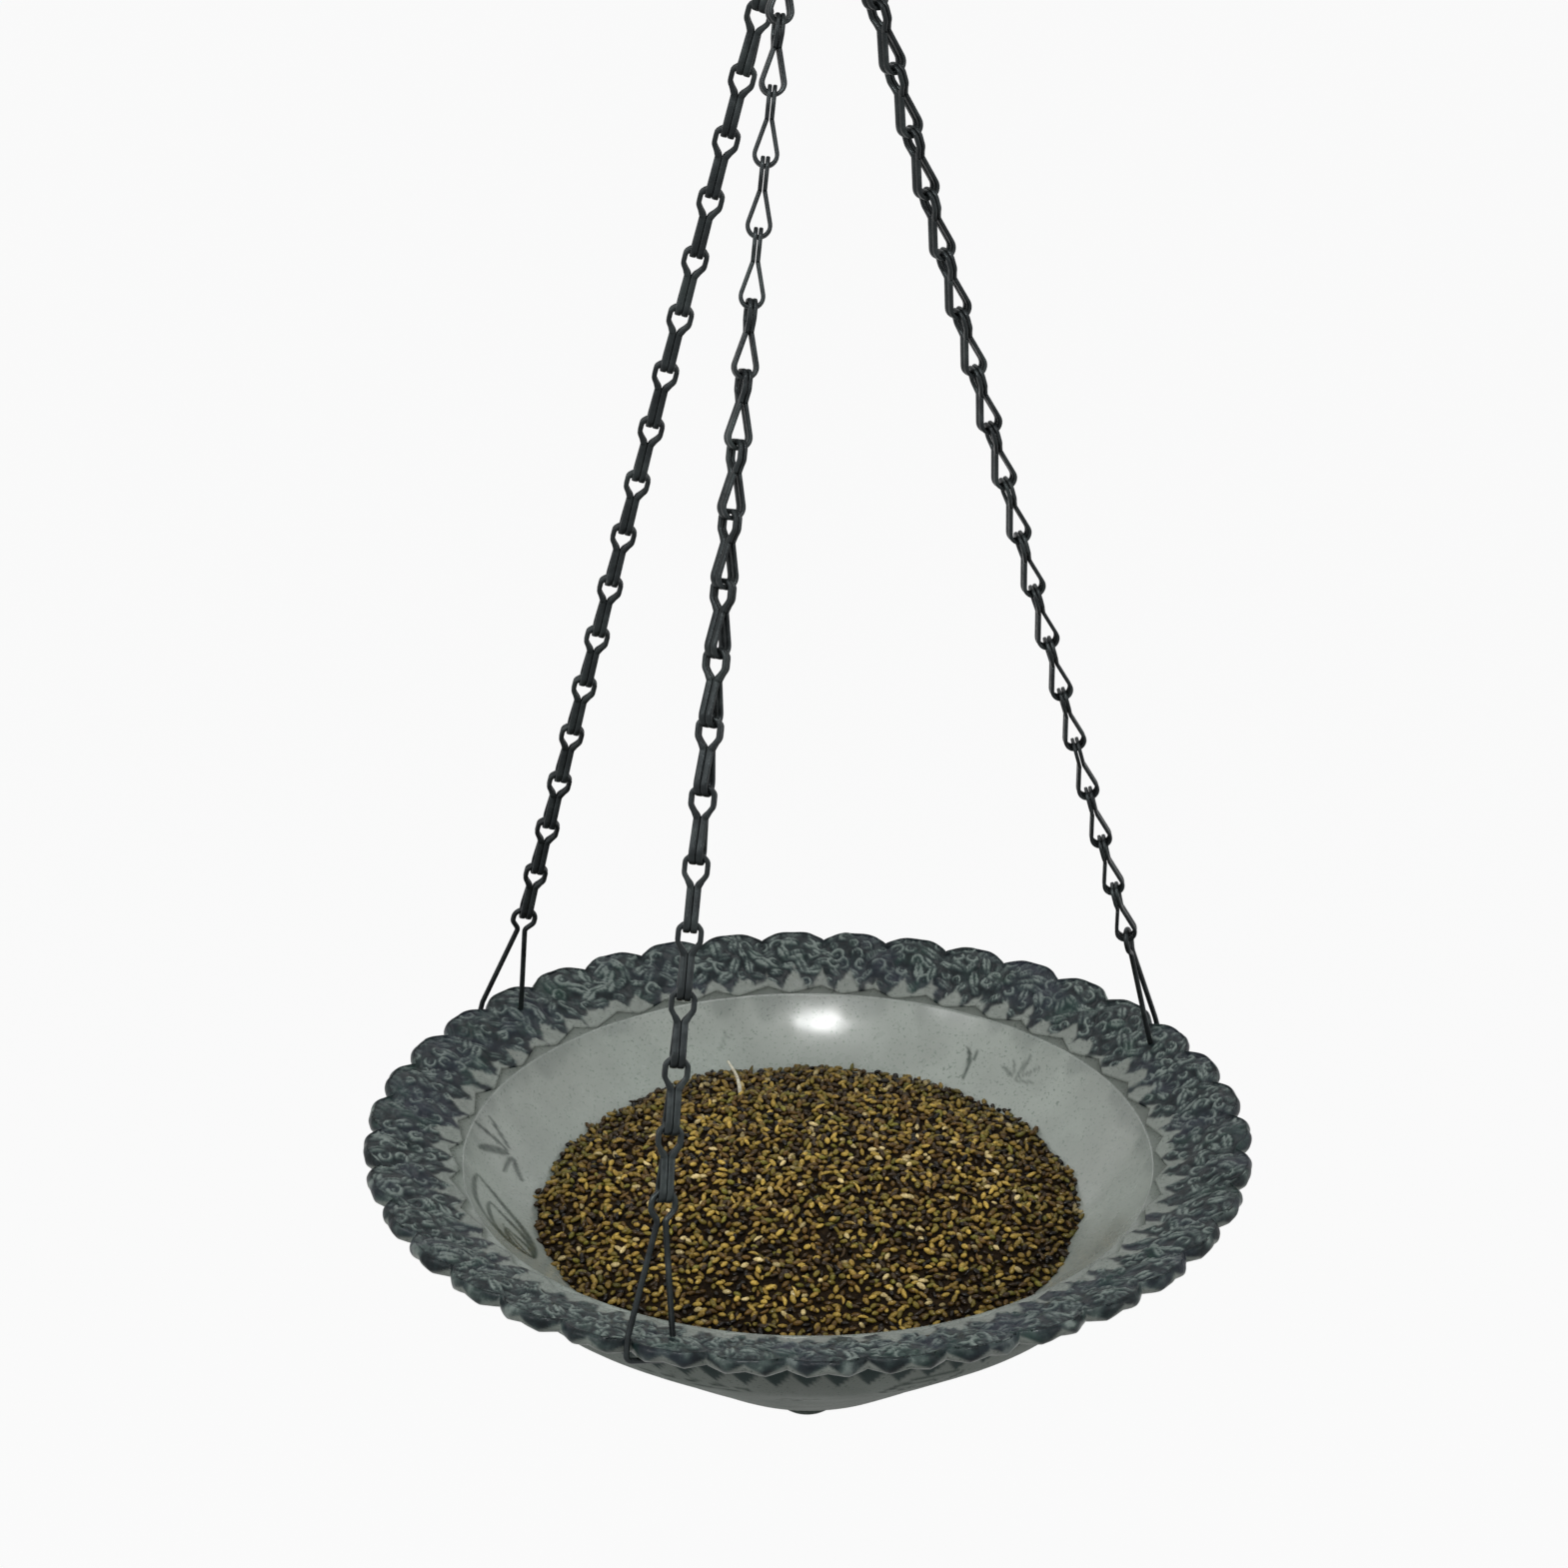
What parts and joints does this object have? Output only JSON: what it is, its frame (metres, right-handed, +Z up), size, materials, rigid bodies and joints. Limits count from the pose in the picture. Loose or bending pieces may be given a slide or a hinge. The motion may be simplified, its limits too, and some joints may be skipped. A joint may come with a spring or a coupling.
{
  "type": "bird bath",
  "caption": "Hanging bird bath: a pale glazed bowl with a dark scalloped band, filled with seed, on folded-link chains from a ring and S hook",
  "frame": {"origin": "the point inside the hook's crook that bears on the branch or bracket", "axes": "+Z up; seen from the front, -Y, +X is to the right"},
  "size_m": [0.3038, 0.3038, 0.6164],
  "materials": {
    "dark_iron": "dark gunmetal, worn",
    "glaze": "glossy pale grey-green glaze with a mottled dark green band",
    "seed": "dry mixed grain, loose"
  },
  "bodies": {
    "hook_body": {"hook": "dark_iron"},
    "ring_body": {"top_ring": "dark_iron"},
    "bath_body": {"chain_right": "dark_iron", "chain_left": "dark_iron", "chain_front": "dark_iron", "rim_hanger_right": "dark_iron", "rim_hanger_left": "dark_iron", "rim_hanger_front": "dark_iron", "bowl": "glaze", "seed_fill": "seed"}
  },
  "joints": [
    {"name": "ring_swing", "type": "hinge", "parent": "hook_body", "child": "ring_body", "pos_m": [0, 0, -0.04325], "axis": [-0.7071, 0.7071, 0], "range_deg": [-30, 30]},
    {"name": "bath_swing", "type": "hinge", "parent": "ring_body", "child": "bath_body", "pos_m": [0, 0, -0.0677], "axis": [0.7071, 0.7071, 0], "range_deg": [-30, 30]}
  ]
}
